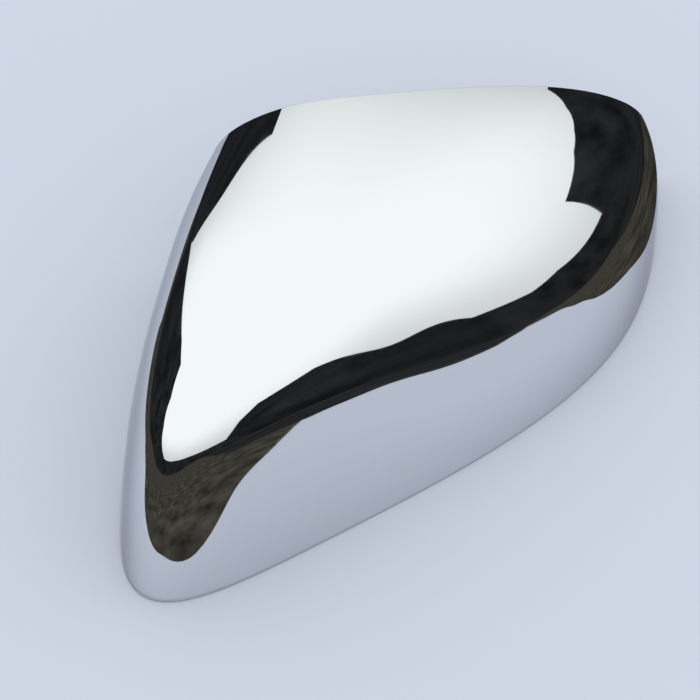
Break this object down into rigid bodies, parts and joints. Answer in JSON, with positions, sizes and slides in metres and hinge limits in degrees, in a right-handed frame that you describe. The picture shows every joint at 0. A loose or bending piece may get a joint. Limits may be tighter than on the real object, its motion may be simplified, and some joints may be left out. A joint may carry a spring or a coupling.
{
  "type": "wing mirror cover",
  "caption": "Chrome-plated shell that snaps over the back of a car's wing mirror, domed, tapering to a rounded tip and open at one end, with snap hooks and locating pins inside.",
  "frame": {"origin": "on the rim plane, under the middle of the cover's box", "axes": "+Z out of the dome, +Y out of the open end, +X along the open end away from the tip"},
  "size_m": [0.2374, 0.1588, 0.077],
  "materials": {
    "chrome_plating": "bright mirror plating on moulded plastic"
  },
  "bodies": {
    "root": {"mirror_cover": "chrome_plating"}
  },
  "joints": []
}
